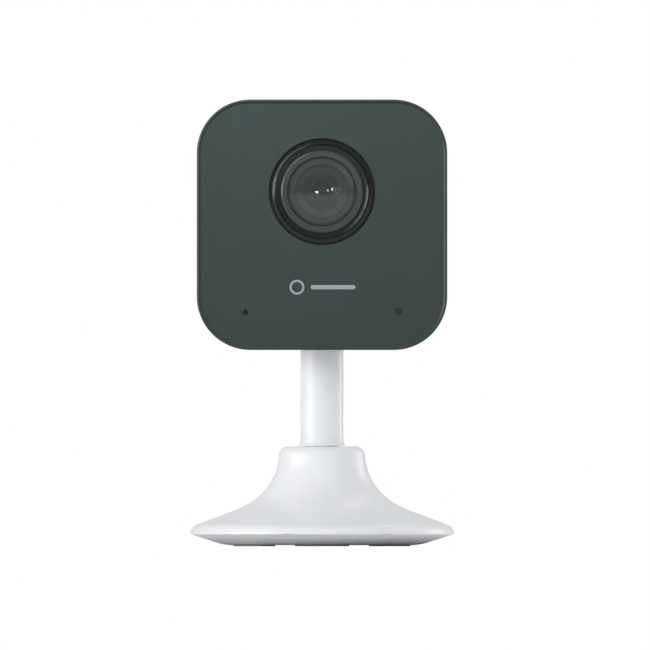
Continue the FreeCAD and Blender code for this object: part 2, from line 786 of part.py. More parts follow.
def tilt_bracket():
    """The folded steel bracket whose two ears carry the tilt pin."""
    body = new_body("tilt_bracket")
    pad(body, "bracket_block", "YZ_Plane", "-ear_outer", [
        ("-ear_reach", "bridge_top"),
        ("-ear_reach", "hinge_level", RIGHT, "ear_reach * 1.0001"),
        (0, "hinge_level - ear_reach", RIGHT, "ear_reach * 1.0001"),
        ("ear_reach", "hinge_level"),
        ("ear_reach", "flange_step"),
        ("flange_back", "flange_step"),
        ("flange_back", "bridge_top"),
    ], "2 * ear_outer")
    pocket(body, "bracket_channel", "YZ_Plane", "-ear_inner",
           rectangle("-ear_reach - 1", "flange_back + 1", "hinge_level - ear_reach - 1", "bridge_level"),
           "2 * ear_inner")
    for side, near, far in (("left", "-flange_half_width", "-flange_near"),
                            ("right", "flange_near", "flange_half_width")):
        pad(body, f"bracket_flange_{side}", "XZ_Plane", "-flange_back",
            rectangle(near, far, "flange_level", "bridge_top"), "flange_back - flange_front")
    holes = [(f"{side} * bracket_screw_x", "bracket_screw_level", "bracket_screw_shank + 0.15")
             for side in (-1, 1)]
    pocket(body, "bracket_holes", "XZ_Plane", "-(flange_back + 1)", None,
           "flange_back - flange_front + 2", holes)
    pocket(body, "pin_holes", "YZ_Plane", 0, None, "4 * ear_outer",
           [(0, "hinge_level", "tilt_pin_radius + fit")],
           symmetric=True)


def bracket_screws():
    """Two identical screws that hold the bracket to the rear shell."""
    names = []
    for number, side in enumerate((-1, 1), start=1):
        x = f"{side} * bracket_screw_x"
        head = rod(f"bracket_screw_cap_{number}", "y", "bracket_screw_head", "flange_front - 1.3",
                   "flange_front - fit", x=x, z="bracket_screw_level")
        shank = rod(f"bracket_screw_shank_{number}", "y", "bracket_screw_shank", "flange_front - 0.5",
                    "back_y - face_wall + 0.6", x=x, z="bracket_screw_level")
        names.append(join(f"bracket_screw_solid_{number}", [head, shank]).Name)
    gather("bracket_screws", names)


def tilt_hardware():
    """The tilt pin, its nut and the two friction washers beside the stem's eye."""
    head = rod("tilt_pin_cap", "x", "tilt_pin_head", "-ear_outer - tilt_head_height", "-ear_outer - fit",
               z="hinge_level")
    shank = rod("tilt_pin_shank", "x", "tilt_pin_radius", "-ear_outer - 0.5",
                "ear_outer + tilt_head_height + 0.4",
                z="hinge_level")
    keep("tilt_pin", join("tilt_pin_solid", [head, shank]))
    nut = document.addObject("Part::Prism", "tilt_nut_hexagon")
    nut.Polygon = 6
    nut.Placement = FreeCAD.Placement(FreeCAD.Vector(0, 0, 0), AXIS_TURNS["x"])
    bind(nut, Circumradius="tilt_pin_head", Height="tilt_head_height")
    place(nut, "ear_outer + fit", 0, "hinge_level")
    bore = rod("tilt_nut_bore", "x", "tilt_pin_radius + fit", "ear_outer - 1", "ear_outer + 4",
               z="hinge_level")
    keep("tilt_nut", cut("tilt_nut_cut", nut, [bore]))
    for name, near in (("left", "-eye_half_width - tilt_washer_thickness - fit"),
                       ("right", "eye_half_width + fit")):
        keep(f"tilt_washer_{name}",
             tube(f"tilt_washer_{name}", "x", "tilt_washer_radius", "tilt_pin_radius + fit",
                                         near, f"{near} + tilt_washer_thickness", z="hinge_level"))


# ---------------------------------------------------------------- lens group

def lens_bezel():
    """The crowned glossy ring in front of the infrared lamps."""
    turned_lens_part("lens_bezel_ring", [
        ("bezel_edge_y", "bezel_outer", LEFT, "bezel_round"),
        ("face_y - bezel_rise", "bezel_crown", LEFT, "bezel_crown_round"),
        ("face_y - bezel_rise + 0.35", "bezel_inner"),
        ("face_y + face_wall", "bezel_inner"),
        ("face_y + face_wall", "bezel_outer"),
    ])


def lens_trim():
    """The grey ring between the glossy ring and the front glass."""
    turned_lens_part("lens_trim_ring", [
        ("face_y - trim_rise + 0.3", "trim_outer"),
        ("face_y - trim_rise", "trim_outer - 0.35"),
        ("face_y - trim_rise + 0.15", "trim_inner + 0.2"),
        ("face_y - trim_rise + 0.45", "trim_inner"),
        ("face_y + face_wall + 0.2", "trim_inner"),
        ("face_y + face_wall + 0.2", "trim_outer"),
    ])


def front_glass():
    """The domed front element, hollow behind like a wide-angle lens."""
    turned_lens_part("front_lens", [
        ("face_y - 1.0", 0),
        ("face_y - 1.0", 0.05, LEFT, "24"),
        ("face_y + 0.28", "glass_radius"),
        ("face_y + 1.7", "glass_radius"),
        ("face_y + 1.7", "glass_radius - 1.5", RIGHT, "15"),
        ("face_y + 0.35", 0.05),
        ("face_y + 0.35", 0),
    ])


def lens_barrel():
    """The threaded tube with a wide front cup for the glass."""
    turned_lens_part("lens_barrel", [
        ("face_y + 0.35", "barrel_head"),
        ("face_y + 0.35", "glass_radius + fit"),
        ("face_y + 1.75", "glass_radius + fit"),
        ("face_y + 1.75", "barrel_bore"),
        ("barrel_shelf_y", "barrel_bore"),
        ("barrel_shelf_y", "barrel_back_bore"),
        ("barrel_end_y", "barrel_back_bore"),
        ("barrel_end_y", "barrel_radius"),
        ("face_y + 4", "barrel_radius"),
        ("face_y + 4", "barrel_head"),
    ])


def inner_optics():
    """Retaining ring, second element, iris and rear element inside the barrel."""
    keep("lens_retainer", tube("lens_retainer", "y", "barrel_bore - fit", "barrel_bore - 1.2",
                               "retainer_y", "retainer_y + 0.9", z="lens_level"))
    turned_lens_part("lens_element_middle", [
        ("retainer_y + 1.0", 0),
        ("retainer_y + 1.0", 0.05, LEFT, "20"),
        ("retainer_y + 1.6", "barrel_bore - 0.9"),
        ("retainer_y + 1.6", "barrel_bore - fit"),
        ("retainer_y + 2.8", "barrel_bore - fit"),
        ("retainer_y + 2.8", 0),
    ])
    turned_lens_part("iris_ring", [
        ("barrel_shelf_y - 0.9", "iris_radius"),
        ("barrel_shelf_y - 0.9", "iris_radius + 0.35"),
        ("barrel_shelf_y - 0.35", "iris_radius + 0.6"),
        ("barrel_shelf_y - 0.35", "barrel_bore - fit"),
        ("barrel_shelf_y - fit", "barrel_bore - fit"),
        ("barrel_shelf_y - fit", "iris_radius"),
    ])
    turned_lens_part("lens_element_rear", [
        ("barrel_shelf_y + 1.2", 0),
        ("barrel_shelf_y + 1.2", 0.05, LEFT, "9"),
        ("barrel_shelf_y + 2.2", "barrel_back_bore - fit"),
        ("barrel_shelf_y + 3.6", "barrel_back_bore - fit"),
        ("barrel_shelf_y + 3.6", 0),
    ])


def lens_holder():
    """The tube that grips the barrel, on a flange and two legs that stand on the board."""
    sleeve = rod("holder_tube", "y", "holder_radius", "holder_front_y", "holder_under_y", z="lens_level")
    flange = box("holder_flange", "-holder_half_width", "holder_half_width", "holder_flange_y",
                 "holder_under_y",
                 "lens_level - holder_half_height", "lens_level + holder_half_height")
    legs = [box(f"holder_leg_{side}", near, far, "holder_under_y - 0.1", "board_front",
                "lens_level - holder_half_height", "lens_level + holder_half_height")
            for side, near, far in (("left", "-holder_half_width", "-holder_half_width + holder_leg"),
                                    ("right", "holder_half_width - holder_leg", "holder_half_width"))]
    bore = rod("holder_bore", "y", "barrel_radius + fit", "holder_front_y - 1", "holder_under_y + 1",
               z="lens_level")
    keep("lens_holder", cut("holder_cut", join("holder_solid", [sleeve, flange, *legs]), [bore]))


def lamp_ring():
    """The ring board behind the glossy ring, with eight small infrared lamps."""
    keep("lamp_board", tube("lamp_board", "y", "led_ring_outer", "led_ring_inner", "led_ring_front",
                            "led_ring_back", z="lens_level"))
    names = []
    for number in range(int(DIMENSIONS["led_count"])):
        angle = 22.5 + 45 * number
        x = f"led_circle * cos({angle})"
        z = f"lens_level + led_circle * sin({angle})"
        names.append(rod(f"lamp_{number + 1}", "y", "led_radius", "led_ring_front - 0.55", "led_ring_front",
                         x=x, z=z).Name)
    gather("infrared_lamps", names)


def filter_switch():
    """The infrared filter's housing and the two-window slider inside it."""
    half_height = "housing_half_height"
    stock = box("housing_block", "-housing_half_width", "housing_half_width", "housing_front",
                "housing_back",
                f"lens_level - {half_height}", f"lens_level + {half_height}")
    window = rod("housing_window", "y", "filter_window + 0.3", "housing_front - 1", "housing_back + 1",
                 z="lens_level")
    reach = "(filter_travel + filter_window + 0.9)"
    track = box("housing_track", f"-{reach}", reach, "filter_front - 0.1", "filter_back + 0.1",
                "lens_level - filter_half_height - 0.1", "lens_level + filter_half_height + 0.1")
    keep("filter_housing", cut("housing_cut", stock, [window, track]))
    plate = box("slider_plate", "-filter_window - 0.6", "filter_travel + filter_window + 0.6",
                "filter_front",
                "filter_back", "lens_level - filter_half_height", "lens_level + filter_half_height")
    windows = [rod(f"slider_window_{number}", "y", "filter_window", "filter_front - 1", "filter_back + 1",
                   x=f"{number} * filter_travel", z="lens_level") for number in (0, 1)]
    keep("filter_slider", cut("slider_cut", plate, windows))
    keep("filter_glass",
         rod("filter_glass_disc", "y", "filter_window", "filter_front + 0.2", "filter_back - 0.2",
                             z="lens_level"))


# ---------------------------------------------------------------- electronics

def main_board():
    """The circuit board with rounded corners, post clearances and a notch for the hinge."""
    body = new_body("main_board")
    corner = "board_corner"
    wide = "board_half_width"
    pad(body, "board_sheet", "XZ_Plane", "-board_back", [
        (f"-{wide} + {corner}", "board_low"), ("-board_notch", "board_low"),
        ("-board_notch", "board_notch_top"), ("board_notch", "board_notch_top"),
        ("board_notch", "board_low"), (f"{wide} - {corner}", "board_low", RIGHT, corner),
        (wide, f"board_low + {corner}"), (wide, f"board_high - {corner}", RIGHT, corner),
        (f"{wide} - {corner}", "board_high"), (f"-{wide} + {corner}", "board_high", RIGHT, corner),
        (f"-{wide}", f"board_high - {corner}"), (f"-{wide}", f"board_low + {corner}", RIGHT, corner),
    ], "board_back - board_front")
    notches = [(f"{x} * screw_offset", f"head_level + {z} * screw_offset", "board_hole") for x, z in CORNERS]
    pocket(body, "board_notches", "XZ_Plane", "-(board_back + 1)", None, "board_back - board_front + 2",
           notches)


def chips():
    """The larger components on both faces of the board."""
    front = "board_front"
    back = "board_back"
    sensor = box("sensor_block", "-sensor_half", "sensor_half", "sensor_front", front,
                 "lens_level - sensor_half", "lens_level + sensor_half")
    pit = box("sensor_pit", "-sensor_half + 0.8", "sensor_half - 0.8", "sensor_front - 1",
              "sensor_front + 0.4",
              "lens_level - sensor_half + 0.8", "lens_level + sensor_half - 0.8")
    keep("image_sensor", cut("sensor_cut", sensor, [pit]))
    keep("shield_can", box("shield_can", "-22.5", "-7.5", back, f"{back} + 1.7", "66.5", "80.5"))
    keep("thermal_pad",
         box("thermal_pad", "-20.5", "-9.5", f"{back} + 1.7", "back_y - face_wall", "68.5", "78.5"))
    keep("radio_module", box("radio_module", "8", "23", back, f"{back} + 1.9", "68", "76.5"))
    keep("memory_chip", box("memory_chip", "-21", "-12", back, f"{back} + 1.1", "82.5", "93"))
    keep("light_sensor_chip", box("light_chip", "light_x - 1.3", "light_x + 1.3", f"{front} - 0.9", front,
                                  "light_level - 1.4", "light_level + 1.4"))
    keep("microphone", box("microphone_block", "sound_x - 1.5", "sound_x + 1.5", f"{front} - 1.0", front,
                           "sound_level - 1.5", "sound_level + 1.5"))


def face_inserts():
    """The rubber sound tube and the clear light pipe behind the face's two small holes."""
    keep("microphone_boot", tube("microphone_boot", "y", "1.4", "sound_hole", "face_y + face_wall + fit",
                                 "board_front - 1.05", x="sound_x", z="sound_level"))
    pipe = rod("pipe_rod", "y", "light_hole - fit", "face_y + panel_recess + 0.1", "board_front - 0.95",
               x="light_x", z="light_level")
    collar = rod("pipe_collar", "y", "1.4", "face_y + face_wall + fit", "face_y + face_wall + 1.2",
                 x="light_x", z="light_level")
    keep("light_pipe", join("pipe_solid", [pipe, collar]))


def speaker():
    """The speaker's basket, its cone and the soft ring that seals it to the shell."""
    spot = {"z": "speaker_level"}
    stock = rod("basket_outside", "y", "speaker_radius", "speaker_front", "speaker_back", **spot)
    bowl = rod("basket_bowl", "y", "speaker_radius - 1.0", "speaker_front + 1.6", "speaker_back + 1", **spot)
    keep("speaker_basket", cut("basket_cut", stock, [bowl]))
    cone = document.addObject("Part::Cone", "speaker_cone_solid")
    cone.Placement = FreeCAD.Placement(FreeCAD.Vector(0, 0, 0), AXIS_TURNS["y"])
    bind(cone, Radius1="3", Radius2="speaker_radius - 1.3", Height="1.3")
    place(cone, 0, "speaker_front + 1.7", "speaker_level")
    keep("speaker_cone", cone)
    keep("speaker_gasket",
         tube("speaker_gasket", "y", "speaker_radius", "speaker_radius - 1.6", "speaker_back",
                                "back_y - face_wall - fit", **spot))


def connectors():
    """The power inlet, the card cage and the wireless antenna."""
    body = new_body("power_inlet")
    depth = "inlet_mouth_y - board_back"
    pad(body, "inlet_shell", "XZ_Plane", "-inlet_mouth_y", stadium("0"), depth)
    pocket(body, "inlet_mouth", "XZ_Plane", "-(inlet_mouth_y + 1)", stadium("-inlet_wall"), "7.2")
    pad(body, "inlet_tongue", "XZ_Plane", "-(inlet_mouth_y - 0.6)",
        rectangle("-3.3", "3.3", "inlet_level - 0.35", "inlet_level + 0.35"), "6")
    cage = box("cage_block", "13", "head_size / 2 - shell_wall - 0.3", "board_back",
               "board_back + card_thick",
               "card_low", "card_high")
    mouth = box("cage_mouth", "16", "head_size / 2", "board_back + 0.3", "board_back + card_thick - 0.3",
                "card_low + 0.5", "card_high - 0.5")
    keep("card_cage", cut("cage_cut", cage, [mouth]))
    keep("antenna",
         box("antenna_strip", "-head_size / 2 + shell_wall + 0.1", "-head_size / 2 + shell_wall + 0.45",
                        "-6", "6", "64", "88"))


def reset_button():
    """The reset button, with the switch plunger it presses, and the switch body on the board."""
    spot = {"x": "button_x", "z": "button_level"}
    cap = rod("button_cap", "y", "button_radius", "8", "button_face", **spot)
    flange = rod("button_flange_disc", "y", "button_flange", "8.0", "8.6", **spot)
    stalk = rod("button_stalk", "y", "1.2", "button_stalk_end", "8.1", **spot)
    keep("reset_button", join("button_solid", [cap, flange, stalk]))
    keep("switch_plunger",
         rod("plunger_rod", "y", "plunger_radius", "switch_back - 0.9", "button_stalk_end - 0.02",
                               **spot))
    housing = box("switch_block", "button_x - switch_half", "button_x + switch_half", "board_back",
                  "switch_back",
                  "button_level - switch_half", "button_level + switch_half")
    well = rod("switch_well", "y", "plunger_radius + 0.08", "board_back + 0.3", "switch_back + 1", **spot)
    keep("tact_switch", cut("switch_cut", housing, [well]))


# ---------------------------------------------------------------- build, check and write

base_cover()
base_plate()
base_weight()
base_screws()
for foot_number in range(1, FOOT_COUNT + 1):
    foot(foot_number)
stem()
pan_hardware()
front_cover()
rear_shell()
head_screws()
tilt_bracket()
bracket_screws()
tilt_hardware()
lens_bezel()
lens_trim()
front_glass()
lens_barrel()
inner_optics()
lens_holder()
lamp_ring()
filter_switch()
main_board()
chips()
face_inserts()
speaker()
connectors()
reset_button()
document.recompute()

problems = []
for item in document.Objects:
    if "Invalid" in item.State or "Error" in item.State:
        problems.append(f"{item.Name}: {item.State}")
for label, item in nodes.items():
    if item.Shape.isNull() or not item.Shape.isValid() or not item.Shape.Solids:
        problems.append(f"{label}: no valid shape")
if problems:
    raise SystemExit("\n".join(problems))

for label, item in nodes.items():
    item.Shape.exportStep(os.path.join("parts", f"{label}.step"))
print(f"{len(nodes)} sub-parts written")
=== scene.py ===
import json
import math

import bmesh
import bpy
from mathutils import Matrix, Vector

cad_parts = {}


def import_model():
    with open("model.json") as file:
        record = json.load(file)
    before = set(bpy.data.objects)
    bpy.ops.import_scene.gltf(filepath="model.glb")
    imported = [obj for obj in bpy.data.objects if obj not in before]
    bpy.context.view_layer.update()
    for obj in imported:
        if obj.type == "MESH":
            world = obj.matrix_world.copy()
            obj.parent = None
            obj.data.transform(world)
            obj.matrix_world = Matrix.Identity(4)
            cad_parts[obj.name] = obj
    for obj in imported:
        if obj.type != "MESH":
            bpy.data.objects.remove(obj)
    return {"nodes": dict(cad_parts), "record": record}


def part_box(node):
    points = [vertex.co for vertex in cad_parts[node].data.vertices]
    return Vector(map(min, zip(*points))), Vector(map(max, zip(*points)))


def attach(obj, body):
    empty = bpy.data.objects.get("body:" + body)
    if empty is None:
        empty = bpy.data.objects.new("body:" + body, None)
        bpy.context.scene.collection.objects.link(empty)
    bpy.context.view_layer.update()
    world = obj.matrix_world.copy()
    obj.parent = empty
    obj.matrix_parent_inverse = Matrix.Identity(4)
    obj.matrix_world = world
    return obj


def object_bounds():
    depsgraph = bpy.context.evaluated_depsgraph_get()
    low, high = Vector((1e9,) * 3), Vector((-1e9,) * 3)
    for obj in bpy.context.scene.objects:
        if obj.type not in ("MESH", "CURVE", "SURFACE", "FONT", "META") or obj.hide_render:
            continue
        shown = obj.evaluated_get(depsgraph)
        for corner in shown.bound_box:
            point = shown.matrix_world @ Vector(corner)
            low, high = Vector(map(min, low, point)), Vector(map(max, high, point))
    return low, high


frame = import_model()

# The looks of a compact indoor security camera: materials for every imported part, small visual pieces,
# a pale floor, soft studio light and a level camera. Metres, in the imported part's own frame.

CAD_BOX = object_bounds()
NODES = frame["nodes"]
MM = 0.001

LENS_LOW, LENS_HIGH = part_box("front_lens")
LENS_LEVEL = (LENS_LOW.z + LENS_HIGH.z) / 2
PANEL_RECESS = 0.42 * MM
PANEL_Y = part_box("front_cover")[0].y + PANEL_RECESS

# Moulded plastic: a slow mottle, an uneven gloss and a slow waviness under the fine texture.
MOTTLE_GRAIN = 6 * MM
GLOSS_GRAIN = 2.5 * MM
WAVE_GRAIN = 9 * MM
WAVE_DEPTH = 0.015 * MM
NOISE_ROUGHNESS = 0.55

# The neutral mark on the face: a ring and a bar, printed a hair proud of the panel.
MARK_LEVEL = 61.0 * MM
MARK_HALF_THICKNESS = 0.02 * MM
MARK_COLOR = (0.30, 0.36, 0.36)
MARK_RING_X = -5.9 * MM
MARK_RING_INNER = 1.25 * MM
MARK_RING_OUTER = 1.75 * MM
MARK_BAR_X = 2.6 * MM
MARK_BAR_LENGTH = 10.6 * MM
MARK_BAR_HEIGHT = 1.0 * MM

GLASS = ["front_lens", "lens_element_middle", "lens_element_rear"]
LIGHT_AIM = (0, 0, 0.06)
FLOOR_RADIUS = 1.5
SURROUND_COLOR = (0.97, 0.985, 1.0, 1)
SURROUND_STRENGTH = 0.50
PICTURE_HEIGHTS = 1.455
CAMERA_LEVEL = 0.4952
CAMERA_ASIDE = 0.7 * MM
CAMERA_DISTANCE = 0.6


# ---------------------------------------------------------------- shader helpers

def new_material(name, color, roughness, **sockets):
    """A Principled material with constants set on the shader's own sockets."""
    material = bpy.data.materials.new(name)
    material.use_nodes = True
    shader = shader_of(material)
    shader.inputs["Base Color"].default_value = (*color, 1.0)
    shader.inputs["Roughness"].default_value = roughness
    for socket, setting in sockets.items():
        shader.inputs[socket.replace("_", " ")].default_value = setting
    return material


def shader_of(material):
    """The material's Principled shader."""
    return material.node_tree.nodes["Principled BSDF"]


def add_node(material, kind, **settings):
    """A shader node with its input sockets set by name."""
    node = material.node_tree.nodes.new(kind)
    for socket, setting in settings.items():
        node.inputs[socket.replace("_", " ")].default_value = setting
    return node


def link(material, source, target):
    """Join two sockets."""
    material.node_tree.links.new(source, target)


def object_coordinates(material):
    """The socket that gives the place on the object, in metres."""
    existing = material.node_tree.nodes.get("Texture Coordinate")
    node = existing or add_node(material, "ShaderNodeTexCoord")
    return node.outputs["Object"]


def noise(material, grain, detail=3.0):
    """A noise texture whose largest features are about one grain across."""
    node = add_node(material, "ShaderNodeTexNoise", Scale=1.0 / grain, Detail=detail,
                    Roughness=NOISE_ROUGHNESS)
    link(material, object_coordinates(material), node.inputs["Vector"])
    return node


def vary_color(material, color, grain, spread):
    """Mottle the base colour by a few percent."""
    ramp = add_node(material, "ShaderNodeValToRGB")
    dark, light = ramp.color_ramp.elements
    dark.position = 0.3
    light.position = 0.7
    dark.color = (*[channel * (1 - spread) for channel in color], 1)
    light.color = (*[min(1.0, channel * (1 + spread)) for channel in color], 1)
    link(material, noise(material, grain).outputs["Fac"], ramp.inputs["Fac"])
    link(material, ramp.outputs["Color"], shader_of(material).inputs["Base Color"])


def vary_roughness(material, low, high, grain):
    """Let the gloss wander between two values. Finer detail than this shows as specks."""
    spread = add_node(material, "ShaderNodeMapRange", To_Min=low, To_Max=high)
    link(material, noise(material, grain, detail=1.0).outputs["Fac"], spread.inputs["Value"])
    link(material, spread.outputs["Result"], shader_of(material).inputs["Roughness"])


def add_bump(material, height, depth, strength=1.0):
    """Raise the surface by a texture's value, on top of any bump already there."""
    normal_input = shader_of(material).inputs["Normal"]
    bump = add_node(material, "ShaderNodeBump", Strength=strength, Distance=depth)
    if normal_input.is_linked:
        link(material, normal_input.links[0].from_socket, bump.inputs["Normal"])
    link(material, height, bump.inputs["Height"])
    link(material, bump.outputs["Normal"], normal_input)


# ---------------------------------------------------------------- materials

def moulded(name, color, gloss, grain, depth, spread=0.015, **sockets):
    """Moulded plastic: a fine spark-eroded texture, a slow waviness and slightly uneven gloss."""
    low, high = gloss
    material = new_material(name, color, (low + high) / 2, **sockets)
    vary_color(material, color, MOTTLE_GRAIN, spread)
    vary_roughness(material, low, high, GLOSS_GRAIN)
    add_bump(material, noise(material, WAVE_GRAIN, detail=1.0).outputs["Fac"], WAVE_DEPTH, 0.2)
    add_bump(material, noise(material, grain, detail=2.0).outputs["Fac"], depth, 0.5)
    return material


def bezel_plastic():
    """Polished black plastic."""
    color = (0.004, 0.006, 0.005)
    material = new_material("bezel_plastic", color, 0.08, Specular_IOR_Level=0.4)
    vary_roughness(material, 0.12, 0.17, 4 * MM)
    vary_color(material, color, 3 * MM, 0.08)
    return material


def coated_glass(name, tint, coating):
    """Clear glass whose coating lets back only part of a mirror image, in its own tint."""
    material = new_material(name, tint, 0.0, Transmission_Weight=1.0, IOR=1.52)
    shader_of(material).inputs["Specular Tint"].default_value = (*coating, 1.0)
    vary_roughness(material, 0.0, 0.012, 5 * MM)
    return material


def smoked_acrylic():
    """The smoked light pipe."""
    material = new_material("clear_acrylic", (0.033, 0.040, 0.040), 0.12, Transmission_Weight=0.3,
                            IOR=1.49, Specular_IOR_Level=0.25)
    vary_roughness(material, 0.08, 0.2, 0.6 * MM)
    return material


def plated_steel():
    """Plated steel with fine drawn lines."""
    color = (0.58, 0.59, 0.60)
    roughness = 0.32
    material = new_material("plated_steel", color, roughness, Metallic=1.0)
    stretch = add_node(material, "ShaderNodeMapping", Scale=(1.0, 1.0, 12.0))
    link(material, object_coordinates(material), stretch.inputs["Vector"])
    lines = add_node(material, "ShaderNodeTexNoise", Scale=1.0 / (0.5 * MM), Detail=4.0)
    link(material, stretch.outputs["Vector"], lines.inputs["Vector"])
    add_bump(material, lines.outputs["Fac"], 0.01 * MM, 0.5)
    vary_roughness(material, roughness - 0.08, roughness + 0.08, 1.5 * MM)
    vary_color(material, color, 3 * MM, 0.04)
    return material


def solder_mask():
    """Green circuit board with faint raised tracks."""
    color = (0.012, 0.11, 0.045)
    material = new_material("solder_mask", color, 0.3)
    vary_color(material, color, 4 * MM, 0.12)
    vary_roughness(material, 0.22, 0.36, 1.5 * MM)
    tracks = add_node(material, "ShaderNodeTexBrick", Scale=240.0, Mortar_Size=0.03)
    link(material, object_coordinates(material), tracks.inputs["Vector"])
    add_bump(material, tracks.outputs["Fac"], 0.03 * MM, 0.5)
    return material


def lamp_resin():
    """The dark resin of the infrared lamps."""
    color = (0.06, 0.02, 0.035)
    material = new_material("lamp_resin", color, 0.1, Transmission_Weight=0.4, IOR=1.5)
    vary_color(material, color, 0.8 * MM, 0.2)
    return material


def rubber(name, color):
    """Matt rubber."""
    return moulded(name, color, (0.7, 0.85), 0.12 * MM, 0.02 * MM, spread=0.06, Specular_IOR_Level=0.3)


def printed_ink(name, color):
    """Thin printed ink."""
    material = new_material(name, color, 0.45)
    vary_roughness(material, 0.4, 0.55, 0.5 * MM)
    vary_color(material, color, 0.6 * MM, 0.05)
    return material


def woven(name, color, pitch):
    """Fine woven cloth, with raised threads in both directions."""
    material = new_material(name, color, 0.8, Specular_IOR_Level=0.3)
    vary_color(material, color, 1.5 * MM, 0.1)
    vary_roughness(material, 0.72, 0.88, 1.0 * MM)
    for turn in (0.0, math.pi / 2):
        spin = add_node(material, "ShaderNodeMapping", Rotation=(0.0, turn, 0.0))
        link(material, object_coordinates(material), spin.inputs["Vector"])
        threads = add_node(material, "ShaderNodeTexWave", Scale=0.1 / pitch)
        link(material, spin.outputs["Vector"], threads.inputs["Vector"])
        add_bump(material, threads.outputs["Fac"], 0.04 * MM, 0.6)
    return material


SLOT_MATERIALS = {
    "white_shell": moulded("white_plastic", (0.83, 0.84, 0.855), (0.27, 0.31), 0.3 * MM, 0.0008 * MM,
                           spread=0.004, Specular_IOR_Level=0.5),
    "white_plate": moulded("white_plate_plastic", (0.87, 0.88, 0.89), (0.45, 0.55), 0.3 * MM, 0.01 * MM),
    "white_button": moulded("button_plastic", (0.70, 0.72, 0.74), (0.42, 0.5), 0.2 * MM, 0.006 * MM),
    "dark_face": moulded("face_plastic", (0.0197, 0.0302, 0.0283), (0.33, 0.38), 0.16 * MM, 0.002 * MM,
                         spread=0.03, Specular_IOR_Level=0.36),
    "gloss_black": bezel_plastic(),
    "grey_trim": moulded("trim_plastic", (0.036, 0.045, 0.045), (0.22, 0.28), 0.4 * MM, 0.002 * MM),
    "optical_glass": coated_glass("window_glass", (0.97, 0.99, 0.98), (0.8, 0.92, 0.88)),
    "black_plastic": moulded("black_part_plastic", (0.018, 0.018, 0.020), (0.45, 0.6), 0.3 * MM, 0.01 * MM),
    "steel": plated_steel(),
    "nylon": moulded("acetal", (0.72, 0.71, 0.66), (0.35, 0.45), 0.4 * MM, 0.005 * MM),
    "circuit_board": solder_mask(),
    "lamp_resin": lamp_resin(),
    "chip_ceramic": moulded("sensor_ceramic", (0.035, 0.036, 0.042), (0.25, 0.4), 0.3 * MM, 0.004 * MM,
                            spread=0.1),
    "chip_black": moulded("chip_resin", (0.022, 0.022, 0.025), (0.5, 0.65), 0.15 * MM, 0.01 * MM, spread=0.08),
    "rubber_black": rubber("rubber_black", (0.02, 0.02, 0.02)),
    "rubber_grey": rubber("rubber_grey", (0.30, 0.36, 0.42)),
    "rubber_grey_feet": rubber("rubber_feet", (0.42, 0.43, 0.44)),
    "clear_plastic": smoked_acrylic(),
    "speaker_film": moulded("speaker_film", (0.035, 0.035, 0.04), (0.35, 0.5), 0.3 * MM, 0.004 * MM),
}


def dress(name, material):
    """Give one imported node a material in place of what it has."""
    NODES[name].data.materials.clear()
    NODES[name].data.materials.append(material)


def dress_nodes():
    """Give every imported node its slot's material, and the inner lens parts one of their own."""
    for entry in frame["record"]["subparts"]:
        dress(entry["node"], SLOT_MATERIALS[entry["material_slot"]])
    dress("lens_barrel", moulded("barrel_plastic", (0.040, 0.050, 0.047), (0.35, 0.5), 0.2 * MM, 0.005 * MM))
    dress("iris_ring", moulded("iris_plastic", (0.010, 0.013, 0.012), (0.4, 0.55), 0.2 * MM, 0.004 * MM))
    dress("lens_retainer", moulded("retainer_plastic", (0.024, 0.031, 0.029), (0.35, 0.5), 0.2 * MM, 0.004 * MM))
    inner_glass = coated_glass("inner_glass", (0.93, 0.97, 0.94), (0.14, 0.19, 0.16))
    for name in ("lens_element_middle", "lens_element_rear", "filter_glass"):
        dress(name, inner_glass)


# ---------------------------------------------------------------- mesh helpers

def new_object(name, shape, sharp, material, body):
    """Turn a bmesh into a smooth piece that rides on a body and takes the given material."""
    bmesh.ops.recalc_face_normals(shape, faces=shape.faces)
    mesh = bpy.data.meshes.new(name)
    shape.to_mesh(mesh)
    shape.free()
    mesh.set_sharp_from_angle(angle=math.radians(sharp))
    mesh.materials.append(material)
    for polygon in mesh.polygons:
        polygon.use_smooth = True
    piece = bpy.data.objects.new(name, mesh)
    bpy.context.scene.collection.objects.link(piece)
    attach(piece, body)


def lathe(name, outline, material, body, centre, turns):
    """A closed (y, radius) outline turned about the y axis through centre."""
    shape = bmesh.new()
    rings = []
    for step in range(turns):
        angle = 2 * math.pi * step / turns
        rings.append([shape.verts.new(centre + Vector((radius * math.cos(angle), y, radius * math.sin(angle))))
                      for y, radius in outline])
    for near, far in zip(rings, rings[1:] + rings[:1]):
        for spot in range(len(outline)):
            after = (spot + 1) % len(outline)
            shape.faces.new((near[spot], near[after], far[after], far[spot]))
    bmesh.ops.remove_doubles(shape, verts=shape.verts, dist=1e-7)
    new_object(name, shape, 35, material, body)


def plate(name, outline, front, back, material, body):
    """A flat piece: an (x, z) outline between two y planes."""
    shape = bmesh.new()
    face = shape.faces.new([shape.verts.new((x, back, z)) for x, z in outline])
    grown = bmesh.ops.extrude_face_region(shape, geom=[face])
    for item in grown["geom"]:
        if isinstance(item, bmesh.types.BMVert):
            item.co.y = front
    new_object(name, shape, 30, material, body)


def stadium(centre_x, centre_z, length, height, turns=24):
    """The (x, z) outline of a bar with round ends."""
    radius = height / 2
    reach = length / 2 - radius
    points = []
    for side in (1, -1):
        for step in range(turns + 1):
            angle = math.pi * step / turns - math.pi / 2
            points.append((centre_x + side * (reach + radius * math.cos(angle)),
                           centre_z + side * radius * math.sin(angle)))
    return points


def axis_of(node):
    """The middle of a node's box in x and z, on the plane y = 0."""
    low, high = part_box(node)
    return Vector(((low.x + high.x) / 2, 0, (low.z + high.z) / 2))


# ---------------------------------------------------------------- visual pieces

